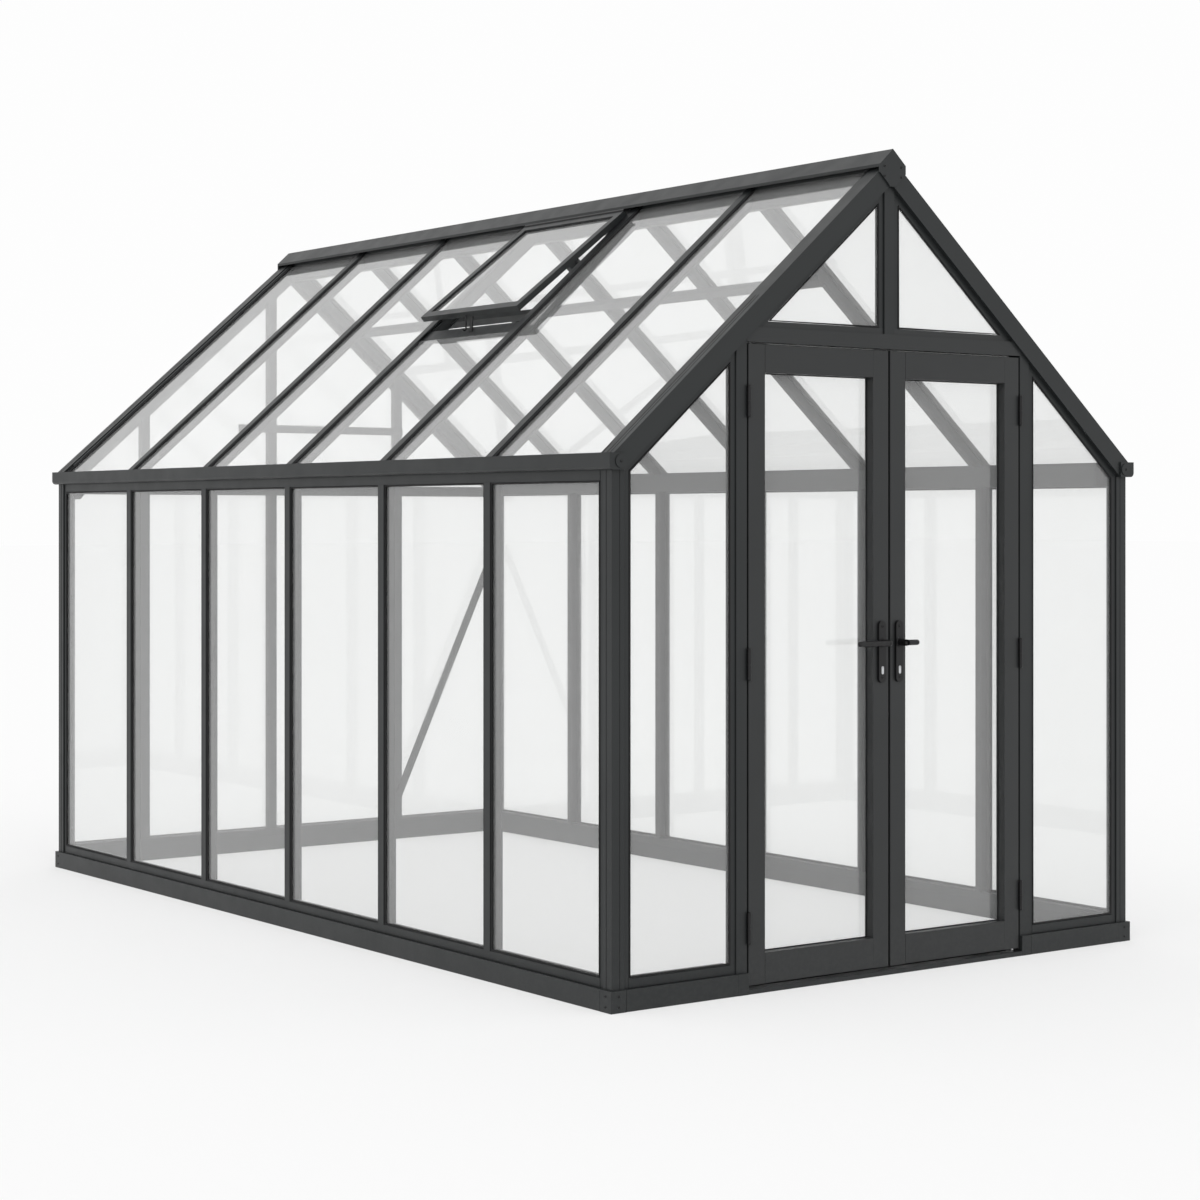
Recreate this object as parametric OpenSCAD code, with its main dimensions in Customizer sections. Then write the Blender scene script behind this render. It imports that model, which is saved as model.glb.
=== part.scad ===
// Glass greenhouse with double doors and one roof vent.
// Origin on the ground at the middle of the plan, doors facing -Y, +Z up, millimetres.

/* [Overall] */
// The header's ends stay under the rafters: a flatter roof, lower eaves or a narrower house
// needs shorter or narrower door leaves
// Outside length of the plinth, doors to back
length = 3700; // [3000:10:4440]
// Outside width of the plinth
width = 2100; // [1980:10:2520]
// Height of the gutters' top edges
eaves_height = 1557; // [1480:1:1860]
// Slope of the roof in degrees
roof_pitch = 41; // [38:0.5:44]
// Panes along each side wall and each roof slope
side_bays = 6; // [4:1:8]

/* [Plinth] */
// Height of the plinth
plinth_height = 62; // [45:1:80]
// Depth of the plinth rail, outside to inside
plinth_depth = 42; // [30:1:60]
// Length of each leg of a plinth corner piece
corner_piece = 54; // [45:1:70]
// How far the walls stand in from the plinth's face
plinth_ledge = 10; // [4:1:16]
// Height of the sill rail on the plinth
sill_height = 28; // [22:1:40]
// Height of the threshold under the doors
threshold_height = 14; // [8:1:18]

/* [Posts and bars] */
// Face width of a corner post
corner_face = 44; // [36:1:60]
// Face width of a door post
post_face = 40; // [30:1:50]
// Depth of posts and glazing bars, outside to inside
post_depth = 52; // [44:1:60]
// Width of the recessed lip that holds the glass beside a post
lip_width = 18; // [12:1:24]
// Cap width of a glazing bar
bar_cap = 35; // [26:1:44]
// Width of a glazing bar's inner flange
bar_flange = 26; // [20:1:32]
// Web thickness of a glazing bar behind the glass
bar_web = 14; // [8:1:18]
// Neck of a glazing bar between two panes
bar_neck = 8; // [5:1:10]
// Broken edge on posts, rails and caps
edge_break = 1.2; // [0.5:0.1:2]

/* [Glass] */
// Glass thickness
glass = 4; // [3:0.5:6]
// Depth of the glass behind the wall's outer face
glass_setback = 10; // [8:1:14]
// Gap between a pane's edge and the metal beside it
pane_gap = 2; // [1:0.5:3]

/* [Eaves and gutters] */
// Height of a gutter
gutter_height = 48; // [36:1:60]
// Width of a gutter
gutter_width = 60; // [50:1:72]
// Sheet thickness of a gutter
gutter_wall = 2; // [1.5:0.5:4]
// Rounding of the gutter's lower outer edge
gutter_round = 14; // [8:1:20]
// Height of the eave beam below the gutter
eave_drop = 29; // [24:1:40]

/* [Roof] */
// Face width of the gable rafters, square to the slope
rafter_face = 60; // [50:1:75]
// Depth of a roof bar's cap below the rafters' top
bar_drop = 4; // [2:1:8]
// Half width of the ridge cap
ridge_half = 52; // [44:1:64]
// Height of the ridge cap's apex above the rafters' meeting point
ridge_rise = 26; // [20:1:34]
// Height of the ridge beam's body
ridge_beam_height = 78; // [66:1:90]
// Thickness of the ridge beam's body
ridge_beam_width = 36; // [30:1:44]
// Distance of the purlin from the middle, on the right slope
purlin_place = 250; // [240:1:420]
// Width of the purlin across the slope
purlin_width = 24; // [16:1:60]
// Depth of the purlin
purlin_depth = 12; // [8:1:30]

/* [Doors] */
// Width of one door leaf
leaf_width = 545; // [480:1:600]
// Height of a door leaf
leaf_height = 1855; // [1700:5:1900]
// Height of the leaves' bottom edge
leaf_bottom = 24; // [20:1:34]
// Gap between the two leaves
leaf_seam = 8; // [6:1:12]
// Gap between a leaf and its frame
leaf_gap = 6; // [6:1:10]
// Depth of a door leaf
leaf_depth = 40; // [34:1:46]
// Face width of a leaf's stiles
stile_face = 62; // [50:1:76]
// Face height of a leaf's top rail
top_rail = 82; // [60:1:110]
// Face height of a leaf's bottom rail
bottom_rail = 90; // [70:1:140]
// Face height of the header over the doors
header_face = 44; // [36:1:60]

/* [Hinges and handles] */
// Height of a whole hinge
hinge_height = 88; // [70:1:110]
// Distance of the end hinges from the leaf's ends, to their middle
hinge_inset = 166; // [120:1:220]
// Knuckle radius
knuckle_radius = 6; // [5:0.5:8]
// Hinge pin radius
pin_radius = 3; // [2.5:0.5:4]
// Running clearance of a pin in its bore
pin_clearance = 0.05; // [0.03:0.01:0.08]
// Height of the lever's spindle
lever_height = 1000; // [900:5:1050]
// Length of the handle plates
plate_length = 186; // [160:1:220]
// Width of the handle plates
plate_width = 28; // [24:1:34]
// Reach of the left lever from its spindle
left_lever_reach = 125; // [80:1:130]
// Reach of the right lever from its spindle
right_lever_reach = 50; // [50:1:130]
// Distance of a lever's middle from the door's face
lever_stand = 38; // [34:1:50]
// Lever bar diameter
lever_bar = 17; // [14:1:20]

/* [Roof vent] */
// Bay that holds the vent, counted from the doors
vent_bay = 3; // [2:1:4]
// How far the vent stands open in degrees
vent_angle = 3; // [2:0.5:20]
// Distance of the vent's sill from the middle
vent_sill_place = 500; // [440:1:600]
// Width of the vent sill along the slope
vent_sill_width = 40; // [34:1:54]
// How far the vent's low edge laps over the sill
vent_lap = 4; // [4:1:20]
// Width of the vent frame's members
vent_member = 30; // [24:1:36]
// Thickness of the vent frame
vent_thickness = 20; // [16:1:26]

/* [Back gable] */
// Face width of the back posts
back_post_face = 36; // [28:1:46]
// Height of the short rail's middle
back_rail_height = 1745; // [1660:5:1790]
// Height of the short rail itself
back_rail_face = 32; // [24:1:44]
// How far the short rail runs past the middle post
back_rail_overhang = 160; // [0:5:240]
// Height where the brace meets the corner post
brace_top = 1255; // [1000:5:1400]
// Height where the brace meets the inner post
brace_foot = 190; // [150:5:400]
// Width of the brace bar
brace_width = 34; // [24:1:44]

/* [Hidden] */

metal = [0.29, 0.30, 0.31];
metal_dark = [0.22, 0.23, 0.24];
black = [0.08, 0.08, 0.08];
clear = [0.85, 0.92, 0.90, 0.35];
tiny = 0.01;

// Planes of the walls: outer faces of posts, and the pitch of the bays
wall_x = width / 2 - plinth_ledge;
wall_y = length / 2 - plinth_ledge;
bay = (2 * wall_y - corner_face) / side_bays;
bar_places = [for (i = [1:side_bays - 1]) -(wall_y - corner_face / 2) + i * bay];
sill_top = plinth_height + sill_height;
cap_thickness = 4;
shelf_thickness = 4;
flange_thickness = 6;
glass_back = glass_setback + glass;
lip_front = 5;
slot_depth = 12;
pane_bottom = sill_top - slot_depth;

// Eaves: the gutter's bottom is the top of the posts, the eave beam hangs below it
post_top = eaves_height - gutter_height;
eave_bottom = post_top - eave_drop;
gutter_out = width / 2 + plinth_ledge;
gutter_in = gutter_out - gutter_width;
seat_in = gutter_in - gutter_height + plinth_ledge;
pane_top = eave_bottom + slot_depth;
end_cap_thickness = 6;
rafter_end = length / 2;
rafter_inner = wall_y - corner_face;
gutter_end = rafter_end + end_cap_thickness;

// Roof line: height at a distance from the middle, so deep under the rafters' top face
apex_line = eaves_height + wall_x * tan(roof_pitch);
function roof_z(x, deep = 0) = apex_line - abs(x) * tan(roof_pitch) - deep / cos(roof_pitch);
function roof_x(z, deep = 0) = (apex_line - deep / cos(roof_pitch) - z) / tan(roof_pitch);
function under_rafter(x) = roof_z(x, rafter_face);
roof_glass_top = bar_drop + glass_setback;
roof_glass_back = roof_glass_top + glass;
bar_bottom = bar_drop + post_depth;
beam_half = ridge_beam_width / 2;
glass_eave = gutter_out - 26;
ridge_apex = apex_line + ridge_rise;
ridge_cap_height = 48;
ridge_shoulder = ridge_apex - ridge_cap_height;
ridge_cap_wall = 4;
ridge_rib_half = 9;
ridge_rib_height = 17;
ridge_rib_bottom = ridge_apex - ridge_rib_height;

// Doors
door_half = leaf_width + leaf_seam / 2;
post_in = door_half + leaf_gap;
post_out = post_in + post_face;
leaf_top = leaf_bottom + leaf_height;
header_bottom = leaf_top + leaf_gap;
header_top = header_bottom + header_face;
hinge_x = door_half + leaf_gap / 2;
hinge_y = -wall_y - knuckle_radius;
hinge_places = [leaf_bottom + hinge_inset, leaf_bottom + leaf_height / 2, leaf_top - hinge_inset];
hinge_split = 1;
half_hinge = (hinge_height - hinge_split) / 2;
hinge_plate = 2;
hinge_plate_deep = 30;
leaf_glass_front = 32;
leaf_slot = 9;
handle_x = (leaf_seam + stile_face) / 2;
plate_thickness = 8;
plate_top = lever_height + 66;
spindle_radius = 5;
boss_radius = 10;
plate_play = 0.4;

// Vent
vent_front = bar_places[vent_bay - 2];
vent_middle = vent_front + bay / 2;
vent_length_y = bay - bar_web;
vent_pivot_x = ridge_half + 8;
vent_sill_high = vent_sill_place - vent_sill_width / 2;
vent_sill_low = vent_sill_place + vent_sill_width / 2;
vent_low_edge = vent_sill_high + vent_lap;
vent_slope_length = (vent_low_edge - vent_pivot_x) / cos(roof_pitch);
vent_lift = 1;
vent_bite = 7;
vent_sill_top = roof_glass_top;
stay_width = 14;
stay_thickness = 5;
stay_inset = 4;

// Back gable posts divide the back into unequal lights, the widest on the left
back_posts_x = [-0.325 * width, -0.05 * width, 0.24 * width];
flat_bar = 5;
back_in = wall_y - corner_face;
back_out = wall_y - glass_back;
tie_top = post_top + 4;
tie_bottom = tie_top - 42;

// Draws an outline of x and z, and runs it along y
module along_y(y0, y1) {
    translate([0, y1, 0]) rotate([90, 0, 0]) linear_extrude(y1 - y0) children();
}

// Draws an outline of y and z, and runs it along x
module along_x(x0, x1) {
    translate([x0, 0, 0]) rotate([90, 0, 90]) linear_extrude(x1 - x0) children();
}

// Runs a plan outline from one height to another
module upright(z0, z1) {
    translate([0, 0, z0]) linear_extrude(z1 - z0) children();
}

// Rectangle between two corners, with its four corners broken
module plate(a, b, c = edge_break) {
    polygon([[a.x + c, a.y], [b.x - c, a.y], [b.x, a.y + c], [b.x, b.y - c],
        [b.x - c, b.y], [a.x + c, b.y], [a.x, b.y - c], [a.x, a.y + c]]);
}

// Band of the right slope between two distances from the middle and two depths
module slope_band(x0, x1, deep0, deep1) {
    polygon([[x0, roof_z(x0, deep1)], [x1, roof_z(x1, deep1)],
        [x1, roof_z(x1, deep0)], [x0, roof_z(x0, deep0)]]);
}

// The same on both sides, or on both ends
module both_sides() {
    children();
    mirror([1, 0, 0]) children();
}

module both_ends() {
    children();
    mirror([0, 1, 0]) children();
}

// ---- Plinth ----

// Box-shaped rail on the ground, outer face at 0, running inwards
module plinth_outline() {
    plate([0, 0], [plinth_depth, plinth_height]);
}

// Two side rails, the back rail and a short rail on each side of the doors
module plinth_rails() {
    side_end = length / 2 - corner_piece;
    wide_end = width / 2 - corner_piece;
    color(metal) {
        both_sides() translate([width / 2, 0, 0]) mirror([1, 0, 0])
            along_y(-side_end, side_end) plinth_outline();
        translate([0, length / 2, 0]) mirror([0, 1, 0])
            along_x(-wide_end, wide_end) plinth_outline();
        both_sides() translate([0, -length / 2, 0]) along_x(post_out, wide_end) plinth_outline();
    }
}

// Four corner pieces, and the two feet under the door posts
module plinth_corners() {
    color(metal_dark) {
        both_sides() both_ends()
            upright(0, plinth_height)
                plate([width / 2 - corner_piece, length / 2 - corner_piece], [width / 2, length / 2]);
        both_sides()
            upright(0, plinth_height)
                plate([post_in, -length / 2], [post_out, plinth_depth - length / 2]);
    }
}

module threshold() {
    color(metal_dark) along_x(-post_in, post_in)
        plate([-length / 2, 0], [plinth_depth + plinth_ledge - length / 2, threshold_height]);
}

// ---- Sill rails, posts and wall bars ----

// Rail with a slot for the glass: depth behind the wall's face, height above the plinth
module glazing_rail(height) {
    difference() {
        plate([cap_thickness, 0], [post_depth - cap_thickness, height]);
        translate([glass_setback, height - slot_depth]) square([glass, slot_depth + tiny]);
    }
}

module sill_rails() {
    side_end = wall_y - corner_face - lip_width;
    wide_end = wall_x - corner_face - lip_width;
    color(metal) translate([0, 0, plinth_height]) {
        both_sides()
            translate([wall_x, 0, 0]) mirror([1, 0, 0]) along_y(-side_end, side_end)
                glazing_rail(sill_height);
        both_sides()
            translate([0, -wall_y, 0]) along_x(post_out + lip_width, wide_end)
                glazing_rail(sill_height);
        translate([0, wall_y, 0]) mirror([0, 1, 0]) along_x(-wide_end, wide_end)
            glazing_rail(sill_height);
    }
}

// Square post with a recessed lip along each of the two glazed faces
module corner_posts() {
    lip = [corner_face + lip_width + edge_break, glass_setback - lip_front];
    color(metal) both_sides() both_ends()
        translate([wall_x, wall_y, 0]) rotate(180) upright(plinth_height, post_top) {
            plate([0, 0], [corner_face, corner_face]);
            translate([0, lip_front]) square(lip - [edge_break, 0]);
            translate([lip_front, 0]) square([lip.y, lip.x - edge_break]);
        }
}

// Section of a glazing bar, centred on its neck: width across, depth behind the wall's face
module bar_section() {
    plate([-bar_cap / 2, 0], [bar_cap / 2, cap_thickness]);
    translate([-bar_neck / 2, cap_thickness - tiny]) square([bar_neck, glass_back - cap_thickness + 1]);
    translate([-bar_flange / 2, glass_back]) square([bar_flange, shelf_thickness]);
    translate([-bar_web / 2, glass_back + tiny]) square([bar_web, post_depth - glass_back - 1]);
    plate([-bar_flange / 2, post_depth - flange_thickness], [bar_flange / 2, post_depth]);
}

module wall_bars() {
    color(metal) both_sides() for (y = bar_places)
        translate([wall_x, y, 0]) rotate(90) upright(sill_top, eave_bottom) bar_section();
}

// ---- Eaves and gutters ----

// Beams that take the wall glass in a slot below and carry the roof bars on a sloping seat
module eave_beams() {
    wall_end = wall_y - corner_face - lip_width;
    outer = wall_x - cap_thickness;
    slot_out = wall_x - glass_setback;
    color(metal) both_sides() along_y(-wall_end, wall_end) difference() {
        polygon([[seat_in, eave_bottom], [outer, eave_bottom], [outer, post_top],
            [gutter_in, post_top], [gutter_in, roof_z(gutter_in, bar_bottom)],
            [seat_in, roof_z(seat_in, bar_bottom)]]);
        translate([slot_out - glass, eave_bottom - tiny]) square([glass, slot_depth + tiny]);
    }
}

// Outline of the gutter's outside, square on top and at the wall, rounded at its lower outer edge
module gutter_outline(grow = 0) {
    r = gutter_round - grow;
    low = post_top + grow;
    far = gutter_out - grow;
    union() {
        translate([gutter_in + grow, low]) square([gutter_width - 2 * grow - r, gutter_height]);
        translate([gutter_in + grow, low + r])
            square([gutter_width - 2 * grow, gutter_height - r]);
        translate([far - r, low + r]) circle(r, $fn = 48);
    }
}

module gutters() {
    color(metal) both_sides() along_y(-rafter_end, rafter_end) difference() {
        intersection() {
            gutter_outline();
            translate([gutter_in, post_top]) square([gutter_width, gutter_height]);
        }
        gutter_outline(gutter_wall);
    }
}

// Plates that close the gutters' ends, each with a round boss on its face
module gutter_end_caps() {
    boss = 19;
    boss_height = 3;
    boss_x = gutter_in + boss + 2;
    boss_z = post_top + gutter_height / 2;
    color(metal_dark) both_sides() both_ends() {
        along_y(rafter_end, gutter_end) intersection() {
            gutter_outline();
            translate([gutter_in, post_top]) square([gutter_width, gutter_height]);
        }
        along_y(gutter_end - tiny, gutter_end + boss_height)
            translate([boss_x, boss_z]) circle(boss, $fn = 64);
    }
}

// ---- Roof frame ----

// Lip under a rafter for the gable's glass, between two distances from the middle
module rafter_lip(x0, x1, lowest = 0) {
    along_y(wall_y - glass_setback, wall_y - lip_front) intersection() {
        slope_band(x0, x1, rafter_face - 1, rafter_face + lip_width);
        translate([0, lowest]) square([width, length]);
    }
}

// Rafter of the back gable's right half: strip, glazing ledges for the roof, child lips below it
module rafter() {
    groove = 3;
    difference() {
        union() {
            along_y(rafter_inner, rafter_end) slope_band(0, wall_x, 0, rafter_face);
            children();
            along_y(rafter_inner - lip_width, rafter_inner + 1)
                slope_band(beam_half, gutter_in, bar_drop, bar_drop + cap_thickness);
            along_y(rafter_inner - lip_width, rafter_inner + 1)
                slope_band(beam_half, gutter_in, roof_glass_back, roof_glass_back + shelf_thickness);
        }
        // Notch over the gutter, and the flat cut on the post's top
        along_y(0, length) translate([gutter_in, 0]) square([width, eaves_height]);
        along_y(0, length) square([width, post_top]);
        // Two grooves along the top face
        for (y = [rafter_end - 18, rafter_end - 32])
            along_y(y - groove, y) slope_band(-1, width, -1, groove);
    }
}

// A front rafter's lips stop at the mullion, the header and the door post
module front_rafter() {
    mirror([0, 1, 0]) rafter() {
        rafter_lip(post_face / 2, post_in, header_top);
        rafter_lip(post_out, wall_x - corner_face);
    }
}

module back_rafter() {
    rafter() rafter_lip(0, wall_x - corner_face);
}

module front_right_rafter() {
    color(metal) front_rafter();
}

module front_left_rafter() {
    color(metal) mirror([1, 0, 0]) front_rafter();
}

module back_right_rafter() {
    color(metal) back_rafter();
}

module back_left_rafter() {
    color(metal) mirror([1, 0, 0]) back_rafter();
}

// One roof bar: the same section as the wall bars, laid down the slope in bands
module roof_bar() {
    module band(half, x1, deep0, deep1) {
        along_y(-half, half) slope_band(beam_half, x1, bar_drop + deep0, bar_drop + deep1);
    }
    band(bar_cap / 2, glass_eave, 0, cap_thickness);
    band(bar_neck / 2, gutter_in, cap_thickness - 1, glass_back + 1);
    band(bar_flange / 2, gutter_in, glass_back, glass_back + shelf_thickness);
    band(bar_web / 2, gutter_in, glass_back + 1, post_depth - 1);
    band(bar_flange / 2, gutter_in, post_depth - flange_thickness, post_depth);
}

module roof_bars() {
    color(metal) both_sides() for (y = bar_places) translate([0, y, 0]) roof_bar();
}

// Purlin under the right slope's bars, from the first bar to the back gable
module roof_purlin() {
    color(metal) along_y(bar_places[0] - bar_flange / 2, rafter_inner)
        slope_band(purlin_place, purlin_place + purlin_width, bar_bottom, bar_bottom + purlin_depth);
}

// Beam that the bars butt against, with a rib up to the cap
module ridge_beam() {
    top = roof_z(beam_half, bar_drop);
    color(metal) along_y(-rafter_inner, rafter_inner) {
        plate([-beam_half, top - ridge_beam_height], [beam_half, top]);
        translate([-ridge_rib_half, top - 2])
            square([2 * ridge_rib_half, ridge_rib_bottom - top + 2]);
    }
}

module ridge_cap() {
    side = 9;
    w = ridge_cap_wall;
    inner_shoulder = ridge_shoulder - w;
    color(metal) along_y(-rafter_end, rafter_end)
        polygon([[0, ridge_apex], [ridge_half, ridge_shoulder], [ridge_half, ridge_shoulder - side],
            [ridge_half - w, ridge_shoulder - side], [ridge_half - w, inner_shoulder],
            [ridge_rib_half, ridge_rib_bottom], [-ridge_rib_half, ridge_rib_bottom],
            [w - ridge_half, inner_shoulder], [w - ridge_half, ridge_shoulder - side],
            [-ridge_half, ridge_shoulder - side], [-ridge_half, ridge_shoulder]]);
}

// Six-sided plates that close the ridge and cover the rafters' joint
module ridge_end_caps() {
    lower = ridge_shoulder - 26;
    bottom = ridge_shoulder - 66;
    foot = 12;
    color(metal_dark) both_ends() along_y(rafter_end, gutter_end)
        polygon([[0, ridge_apex], [ridge_half, ridge_shoulder], [ridge_half, lower],
            [foot + 6, bottom + 8], [foot, bottom], [-foot, bottom], [-foot - 6, bottom + 8],
            [-ridge_half, lower], [-ridge_half, ridge_shoulder]]);
}

// ---- Front gable ----

// Post beside the doors, cut to the rafter's slope, with a lip for the side light
module door_post() {
    intersection() {
        translate([0, -wall_y, 0]) upright(plinth_height, eaves_height + width) {
            plate([post_in, 0], [post_out, post_depth]);
            translate([post_out - edge_break, lip_front])
                square([lip_width + edge_break, glass_setback - lip_front]);
        }
        along_y(-length, 0)
            polygon([[post_in, 0], [post_out + lip_width, 0],
                [post_out + lip_width, roof_z(post_out + lip_width, rafter_face + lip_width)],
                [post_out, roof_z(post_out, rafter_face + lip_width)],
                [post_out, under_rafter(post_out)], [post_in, under_rafter(post_in)]]);
    }
}

module door_posts() {
    color(metal) both_sides() door_post();
}

// Header between the door posts, its upper corners cut to the rafters where they pass below them
module door_header() {
    top_half = min(post_in, roof_x(header_top, rafter_face));
    lip_half = min(post_in, roof_x(header_top + lip_width, rafter_face + lip_width));
    lip_foot = min(post_in, roof_x(header_top, rafter_face + lip_width));
    lip_in = post_face / 2;
    color(metal) {
        along_y(-wall_y, post_depth - wall_y)
            polygon([[-post_in, header_bottom], [post_in, header_bottom],
                [post_in, min(header_top, under_rafter(post_in))], [top_half, header_top],
                [-top_half, header_top], [-post_in, min(header_top, under_rafter(post_in))]]);
        both_sides() along_y(lip_front - wall_y, glass_setback - wall_y)
            polygon([[lip_in, header_top - 1], [lip_foot, header_top - 1], [lip_foot, header_top],
                [lip_half, header_top + lip_width], [lip_in, header_top + lip_width]]);
    }
}

// Upright from the header to the ridge, with a lip on each side
module gable_mullion() {
    half = post_face / 2;
    lip_half = half + lip_width;
    color(metal) {
        both_sides() along_y(-wall_y, corner_face - wall_y)
            polygon([[0, header_top], [half, header_top], [half, under_rafter(half)],
                [0, under_rafter(0)]]);
        both_sides() along_y(lip_front - wall_y, glass_setback - wall_y)
            polygon([[half - 1, header_top + lip_width], [lip_half, header_top + lip_width],
                [lip_half, roof_z(lip_half, rafter_face + lip_width)],
                [half - 1, roof_z(half, rafter_face + lip_width)]]);
        along_y(lip_front - wall_y, glass_setback - wall_y)
            polygon([[-half, header_top], [half, header_top], [half, header_top + lip_width + 1],
                [-half, header_top + lip_width + 1]]);
    }
}

// ---- Back gable ----

module back_posts() {
    half = back_post_face / 2;
    color(metal) for (x = back_posts_x)
        along_y(back_in, back_out)
            polygon([[x - half, sill_top], [x + half, sill_top],
                [x + half, under_rafter(x + half)], [x - half, under_rafter(x - half)]]);
}

// Tie beam between the posts at the height of the eaves, and a short flat rail above it that is
// screwed to the posts' inner faces
module back_rails() {
    half = back_post_face / 2;
    rail_half = back_rail_face / 2;
    rail_end = back_posts_x[2] + half;
    last = len(back_posts_x);
    ends = concat([-(wall_x - corner_face)], back_posts_x, [wall_x - corner_face]);
    color(metal) {
        for (i = [0:last])
            along_x(ends[i] + (i == 0 ? 0 : half), ends[i + 1] - (i == last ? 0 : half))
                plate([back_in, tie_bottom], [back_out, tie_top]);
        along_x(back_posts_x[1] - back_rail_overhang, rail_end)
            plate([back_in - flat_bar, back_rail_height - rail_half],
                [back_in, back_rail_height + rail_half]);
    }
}

// Flat bar across the right-hand light, screwed to the inner faces of both posts
module back_brace() {
    x0 = back_posts_x[2];
    x1 = wall_x - corner_face + 8;
    lean = atan2(brace_top - brace_foot, x1 - x0);
    reach = norm([x1 - x0, brace_top - brace_foot]);
    color(metal) translate([x0, back_in - flat_bar, brace_foot])
        rotate([0, -lean, 0]) translate([0, 0, -brace_width / 2])
            cube([reach, flat_bar, brace_width]);
}

// ---- Glass ----

// Panes of the side walls, each with its edges in the rails' slots and behind the lips
module wall_glass() {
    ends = concat([-(wall_y - corner_face)], bar_places, [wall_y - corner_face]);
    neck = bar_neck / 2 + pane_gap;
    for (i = [0:side_bays - 1]) {
        y0 = ends[i] + (i == 0 ? pane_gap : neck);
        y1 = ends[i + 1] - (i == side_bays - 1 ? pane_gap : neck);
        color(clear) both_sides() translate([wall_x - glass_back, y0, pane_bottom])
            cube([glass, y1 - y0, pane_top - pane_bottom]);
    }
}

// Panes of one roof slope; the bay under the vent starts below the vent's sill
module roof_panes(vent = false) {
    ends = concat([-rafter_inner], bar_places, [rafter_inner]);
    neck = bar_neck / 2 + pane_gap;
    for (i = [0:side_bays - 1]) {
        y0 = ends[i] + (i == 0 ? pane_gap : neck);
        y1 = ends[i + 1] - (i == side_bays - 1 ? pane_gap : neck);
        top = vent && i == vent_bay - 1 ? vent_sill_low : beam_half + pane_gap;
        along_y(y0, y1) slope_band(top, glass_eave, roof_glass_top, roof_glass_back);
    }
}

module roof_glass() {
    color(clear) {
        roof_panes();
        mirror([1, 0, 0]) roof_panes(vent = true);
    }
}

// Pane of a gable's right half between two places, up to the rafter
module gable_pane(x0, x1, z0, deep = rafter_face + pane_gap) {
    polygon([[x0, z0], [x1, z0], [x1, max(z0, roof_z(x1, deep))], [x0, roof_z(x0, deep)]]);
}

module front_glass() {
    g0 = glass_setback - wall_y;
    over_door = header_top + pane_gap;
    corner = roof_x(over_door, rafter_face + pane_gap);
    color(clear) both_sides() along_y(g0, g0 + glass) {
        gable_pane(post_out + pane_gap, wall_x - corner_face - pane_gap, pane_bottom);
        gable_pane(post_face / 2 + pane_gap, min(post_in - pane_gap, corner), over_door);
    }
}

// Back panes meet on the middle of each post and lie against its outer face
module back_glass() {
    edge = wall_x - corner_face - pane_gap;
    ends = concat([-edge], back_posts_x, [edge]);
    deep = rafter_face + pane_gap;
    color(clear) along_y(wall_y - glass_back, wall_y - glass_setback)
        for (i = [0:len(ends) - 2]) {
            x0 = ends[i] + (i == 0 ? 0 : pane_gap / 2);
            x1 = ends[i + 1] - (i == len(ends) - 2 ? 0 : pane_gap / 2);
            middle = x0 < 0 && x1 > 0 ? [[0, roof_z(0, deep)]] : [];
            polygon(concat([[x0, pane_bottom], [x1, pane_bottom], [x1, roof_z(x1, deep)]], middle,
                [[x0, roof_z(x0, deep)]]));
        }
}

// ---- Roof vent, on the left slope ----

// Sill between two roof bars that takes the head of the lower pane
module vent_sill() {
    half = (bay - bar_flange) / 2;
    under_glass = 8;
    color(metal) mirror([1, 0, 0]) translate([0, vent_middle, 0])
        along_y(-half, half) {
            slope_band(vent_sill_high, vent_sill_low, roof_glass_back, roof_glass_back + under_glass);
            slope_band(vent_sill_high, vent_sill_low - pane_gap, vent_sill_top, roof_glass_back + 1);
        }
}

// Puts the vent on its pivot, with x running down the slope and z square to it
module on_vent() {
    mirror([1, 0, 0])
        translate([vent_pivot_x, vent_middle, roof_z(vent_pivot_x, bar_drop - vent_lift)])
            rotate([0, roof_pitch - vent_angle, 0]) children();
}

// The vent's pane, or the slot for it: how far its edges reach into the frame
module vent_pane(bite) {
    edge = vent_member - bite;
    translate([edge, edge - vent_length_y / 2, (vent_thickness - glass) / 2])
        cube([vent_slope_length - 2 * edge, vent_length_y - 2 * edge, glass]);
}

module vent_frame() {
    half = vent_length_y / 2;
    color(metal) on_vent() difference() {
        translate([0, -half, 0]) cube([vent_slope_length, 2 * half, vent_thickness]);
        translate([vent_member, vent_member - half, -1])
            cube([vent_slope_length - 2 * vent_member, 2 * (half - vent_member), vent_thickness + 2]);
        vent_pane(vent_bite);
    }
}

module vent_glass() {
    color(clear) on_vent() vent_pane(vent_bite - pane_gap);
}

// Height of the open vent's underside at a distance from the middle
function vent_under(x) = roof_z(vent_pivot_x, bar_drop - vent_lift)
    - (x - vent_pivot_x) * tan(roof_pitch - vent_angle);

// Stay that holds the vent open: a flat bar from the sill's middle up to the vent's low edge
module vent_stay() {
    outer = vent_pivot_x + vent_slope_length * cos(roof_pitch - vent_angle) - stay_inset;
    inner = outer - stay_thickness;
    foot_in = vent_sill_place - stay_thickness / 2;
    foot_out = vent_sill_place + stay_thickness / 2;
    color(black) mirror([1, 0, 0]) translate([0, vent_middle, 0])
        along_y(-stay_width / 2, stay_width / 2)
            polygon([[foot_in, roof_z(foot_in, vent_sill_top)],
                [foot_out, roof_z(foot_out, vent_sill_top)],
                [outer, vent_under(outer)], [inner, vent_under(inner)]]);
}

// ---- Doors ----

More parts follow.
